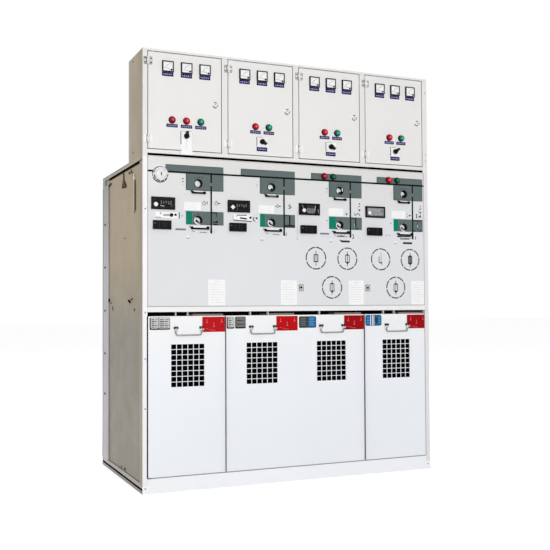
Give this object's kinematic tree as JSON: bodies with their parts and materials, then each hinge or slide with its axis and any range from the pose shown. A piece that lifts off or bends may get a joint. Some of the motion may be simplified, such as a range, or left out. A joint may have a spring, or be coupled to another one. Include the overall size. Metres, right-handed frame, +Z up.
{
  "type": "ring main switchgear",
  "caption": "Steel switchgear cabinet with an operating fascia, lift-off vented cable covers and a shallower instrument box with hinged doors on top.",
  "frame": {"origin": "middle of the footprint, on the floor", "axes": "+Z up, +X to the right seen from the front, the fascia and doors face -Y"},
  "size_m": [1.336, 0.757, 1.7793],
  "materials": {
    "housing_white": "satin powder coat, warm light grey",
    "fascia_grey": "satin powder coat, light grey",
    "cover_white": "satin powder coat, cool white",
    "panel_olive": "painted sheet, olive grey",
    "zinc_grey": "painted sheet, mid grey",
    "tank_steel": "plain sheet steel",
    "slate": "slate grey mimic plate",
    "black_plastic": "black moulding",
    "bright_metal": "bright plated steel",
    "lamp_lens": "coloured lamp lens"
  },
  "bodies": {
    "cabinet": {"base_frame": "housing_white", "side_panel_left": "panel_olive", "side_panel_right": "panel_olive", "rear_panel": "panel_olive", "rear_posts": "zinc_grey", "front_posts": "housing_white", "roof_panel": "housing_white", "switch_tank": "tank_steel", "front_rail": "housing_white", "fascia": "fascia_grey", "lv_housing": "housing_white", "lv_front_frame": "housing_white", "mimic_plates": "slate", "shaft_collars": "black_plastic", "operating_shafts": "bright_metal", "lever_bars": "black_plastic", "indicator_units": "black_plastic", "voltage_boxes": "black_plastic", "pressure_gauge": "black_plastic", "key_locks": "bright_metal", "fascia_lamps": "lamp_lens"},
    "door_1": {"lv_door_1": "housing_white", "lv_meters_1": "black_plastic", "lv_lamps_1": "lamp_lens"},
    "selector_1": {"lv_selector_1": "black_plastic"},
    "handle_1": {"lift_handle_1": "bright_metal"},
    "door_2": {"lv_door_2": "housing_white", "lv_meters_2": "black_plastic", "lv_lamps_2": "lamp_lens"},
    "selector_2": {"lv_selector_2": "black_plastic"},
    "handle_2": {"lift_handle_2": "bright_metal"},
    "door_3": {"lv_door_3": "housing_white", "lv_meters_3": "black_plastic", "lv_lamps_3": "lamp_lens"},
    "selector_3": {"lv_selector_3": "black_plastic"},
    "handle_3": {"lift_handle_3": "bright_metal"},
    "door_4": {"lv_door_4": "housing_white", "lv_meters_4": "black_plastic", "lv_lamps_4": "lamp_lens"},
    "selector_4": {"lv_selector_4": "black_plastic"},
    "handle_4": {"lift_handle_4": "bright_metal"},
    "cover_left": {"cable_cover_left": "cover_white"},
    "cover_centre": {"cable_cover_centre": "cover_white"},
    "cover_right": {"cable_cover_right": "cover_white"}
  },
  "joints": [
    {"name": "door_1_hinge", "type": "hinge", "parent": "cabinet", "child": "door_1", "pos_m": [-0.6465, -0.3745, 1.5718], "axis": [0, 0, -1], "range_deg": [0, 100]},
    {"name": "door_2_hinge", "type": "hinge", "parent": "cabinet", "child": "door_2", "pos_m": [-0.3045, -0.3745, 1.5718], "axis": [0, 0, -1], "range_deg": [0, 100]},
    {"name": "door_3_hinge", "type": "hinge", "parent": "cabinet", "child": "door_3", "pos_m": [0.0205, -0.3745, 1.5718], "axis": [0, 0, -1], "range_deg": [0, 100]},
    {"name": "door_4_hinge", "type": "hinge", "parent": "cabinet", "child": "door_4", "pos_m": [0.3455, -0.3745, 1.5718], "axis": [0, 0, -1], "range_deg": [0, 100]},
    {"name": "selector_1_turn", "type": "hinge", "parent": "door_1", "child": "selector_1", "pos_m": [-0.485, -0.3755, 1.4343], "axis": [0, -1, 0], "range_deg": [-90, 90]},
    {"name": "selector_2_turn", "type": "hinge", "parent": "door_2", "child": "selector_2", "pos_m": [-0.1515, -0.3755, 1.4343], "axis": [0, -1, 0], "range_deg": [-90, 90]},
    {"name": "selector_3_turn", "type": "hinge", "parent": "door_3", "child": "selector_3", "pos_m": [0.1735, -0.3755, 1.4343], "axis": [0, -1, 0], "range_deg": [-90, 90]},
    {"name": "selector_4_turn", "type": "hinge", "parent": "door_4", "child": "selector_4", "pos_m": [0.4985, -0.3755, 1.4343], "axis": [0, -1, 0], "range_deg": [-90, 90]},
    {"name": "cover_left_lift_off", "type": "slide", "parent": "cabinet", "child": "cover_left", "axis": [0, -1, 0], "range_m": [0, 0.25]},
    {"name": "cover_centre_lift_off", "type": "slide", "parent": "cabinet", "child": "cover_centre", "axis": [0, -1, 0], "range_m": [0, 0.25]},
    {"name": "cover_right_lift_off", "type": "slide", "parent": "cabinet", "child": "cover_right", "axis": [0, -1, 0], "range_m": [0, 0.25]},
    {"name": "handle_1_swing", "type": "hinge", "parent": "cover_left", "child": "handle_1", "pos_m": [-0.4775, -0.3755, 0.6523], "axis": [-1, 0, 0], "range_deg": [0, 100]},
    {"name": "handle_2_swing", "type": "hinge", "parent": "cover_centre", "child": "handle_2", "pos_m": [-0.1525, -0.3755, 0.6523], "axis": [-1, 0, 0], "range_deg": [0, 100]},
    {"name": "handle_3_swing", "type": "hinge", "parent": "cover_centre", "child": "handle_3", "pos_m": [0.1725, -0.3755, 0.6523], "axis": [-1, 0, 0], "range_deg": [0, 100]},
    {"name": "handle_4_swing", "type": "hinge", "parent": "cover_right", "child": "handle_4", "pos_m": [0.4975, -0.3755, 0.6523], "axis": [-1, 0, 0], "range_deg": [0, 100]}
  ]
}
